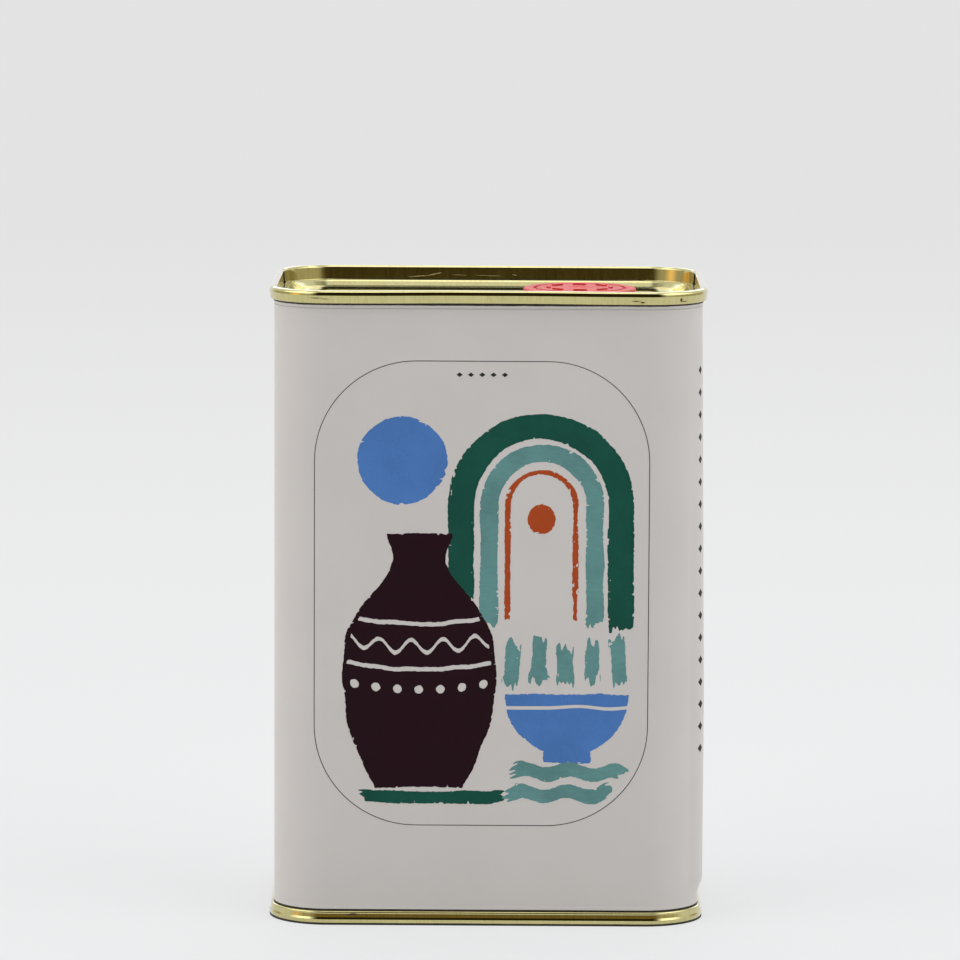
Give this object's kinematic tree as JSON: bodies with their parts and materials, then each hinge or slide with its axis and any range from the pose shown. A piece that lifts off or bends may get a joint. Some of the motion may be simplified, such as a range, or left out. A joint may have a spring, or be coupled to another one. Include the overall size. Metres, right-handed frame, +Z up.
{
  "type": "olive oil tin",
  "caption": "Shut rectangular oil tin with rounded corners, an off-white printed body, gold double-seamed ends and a red press-in cap in the sunk upper panel.",
  "frame": {"origin": "middle of the footprint, on the plane that the lower seam rests on", "axes": "+Z up, +X to the right seen from the printed front, -Y out of the front"},
  "size_m": [0.0858, 0.0556, 0.125],
  "materials": {
    "print": "off-white satin print on tinplate, with a thin dark outline and flat painted shapes on the front",
    "gold": "glossy gold lacquer on tinplate, with fine drawing lines and small nicks",
    "red_plastic": "moulded red plastic, semi-gloss"
  },
  "bodies": {
    "root": {"body": "print", "top_end": "gold", "bottom_end": "gold", "cap": "red_plastic"}
  },
  "joints": []
}
